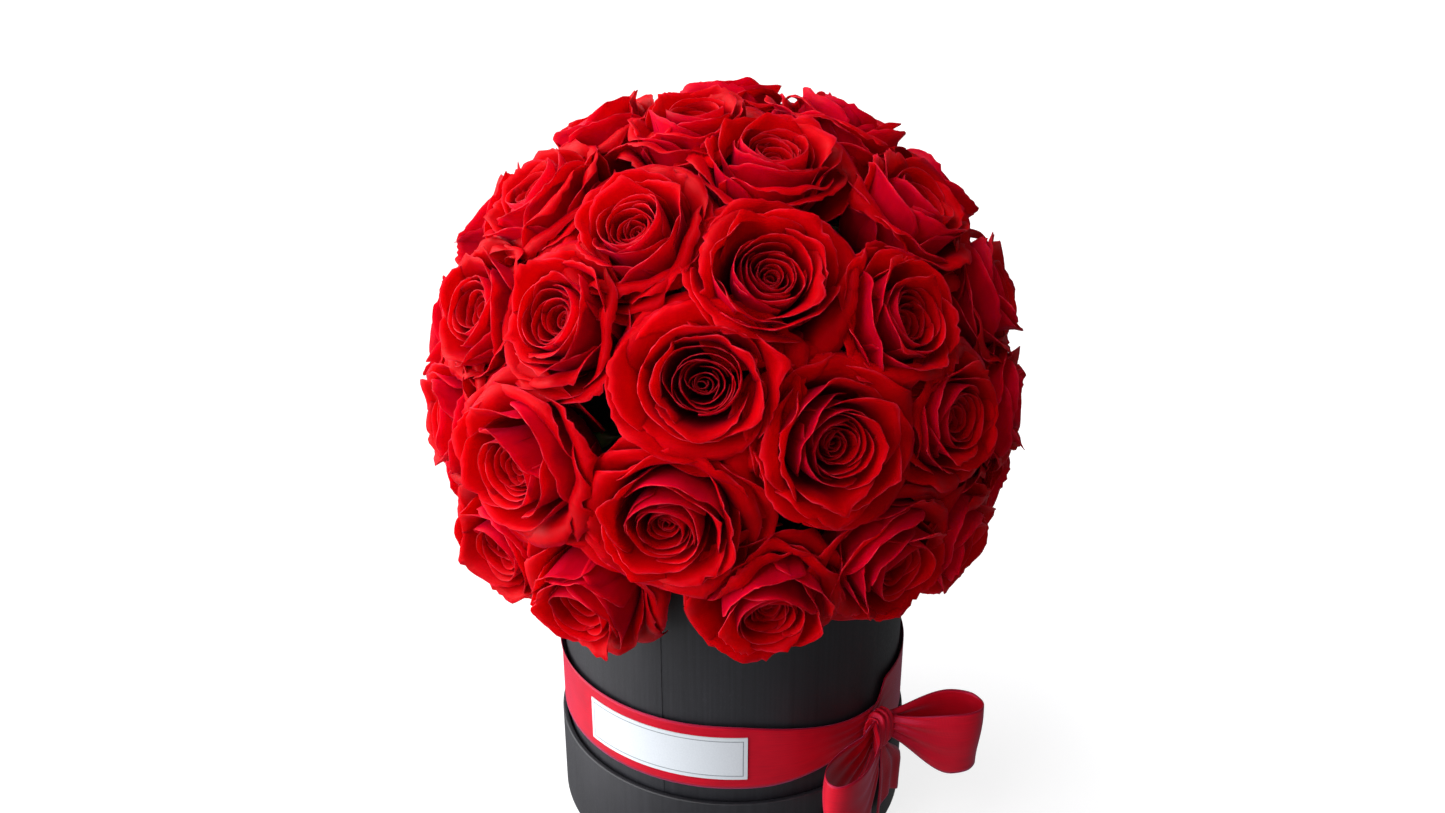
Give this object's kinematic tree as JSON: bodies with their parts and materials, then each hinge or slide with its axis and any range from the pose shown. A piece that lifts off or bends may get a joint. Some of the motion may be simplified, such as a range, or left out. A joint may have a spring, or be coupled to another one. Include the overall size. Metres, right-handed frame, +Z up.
{
  "type": "flower box",
  "caption": "Round black hat box standing in its upturned lid, with a satin ribbon and bow, a label card and a ball of red roses set in floral foam.",
  "frame": {"origin": "centre of the face the box stands on", "axes": "+Z up, -Y towards the front, +X to the right as seen from the front"},
  "size_m": [0.245, 0.2465, 0.3147],
  "materials": {
    "black_paper": "matt black wrap paper with a fine grain",
    "grey_card": "raw grey board",
    "satin_ribbon": "crimson satin with a soft sheen",
    "label_card": "smooth white card with a thin grey border",
    "liner_plastic": "thin clear plastic",
    "floral_foam": "wet dark green floral foam",
    "rose_petal": "velvety red petals"
  },
  "bodies": {
    "lid": {"lid_panel": "black_paper", "lid_wall": "black_paper"},
    "box": {"box_base": "grey_card", "box_wall": "grey_card", "wrap_paper": "black_paper", "ribbon_band": "satin_ribbon", "label_card": "label_card", "ribbon_knot": "satin_ribbon", "bow_loop_right": "satin_ribbon", "bow_loop_left": "satin_ribbon", "ribbon_tail_left": "satin_ribbon", "ribbon_tail_right": "satin_ribbon"},
    "arrangement": {"plastic_liner": "liner_plastic", "floral_foam": "floral_foam", "rose_01": "rose_petal", "rose_02": "rose_petal", "rose_03": "rose_petal", "rose_04": "rose_petal", "rose_05": "rose_petal", "rose_06": "rose_petal", "rose_07": "rose_petal", "rose_08": "rose_petal", "rose_09": "rose_petal", "rose_10": "rose_petal", "rose_11": "rose_petal", "rose_12": "rose_petal", "rose_13": "rose_petal", "rose_14": "rose_petal", "rose_15": "rose_petal", "rose_16": "rose_petal", "rose_17": "rose_petal", "rose_18": "rose_petal", "rose_19": "rose_petal", "rose_20": "rose_petal", "rose_21": "rose_petal", "rose_22": "rose_petal", "rose_23": "rose_petal", "rose_24": "rose_petal", "rose_25": "rose_petal", "rose_26": "rose_petal", "rose_27": "rose_petal", "rose_28": "rose_petal", "rose_29": "rose_petal", "rose_30": "rose_petal", "rose_31": "rose_petal", "rose_32": "rose_petal", "rose_33": "rose_petal", "rose_34": "rose_petal", "rose_35": "rose_petal", "rose_36": "rose_petal", "rose_37": "rose_petal", "rose_38": "rose_petal", "rose_39": "rose_petal", "rose_40": "rose_petal", "rose_41": "rose_petal", "rose_42": "rose_petal", "rose_43": "rose_petal", "rose_44": "rose_petal", "rose_45": "rose_petal", "rose_46": "rose_petal"}
  },
  "joints": [
    {"name": "box_lift", "type": "slide", "parent": "lid", "child": "box", "axis": [0, 0, 1], "range_m": [0, 0.05]},
    {"name": "arrangement_lift", "type": "slide", "parent": "box", "child": "arrangement", "axis": [0, 0, 1], "range_m": [0, 0.155]}
  ]
}
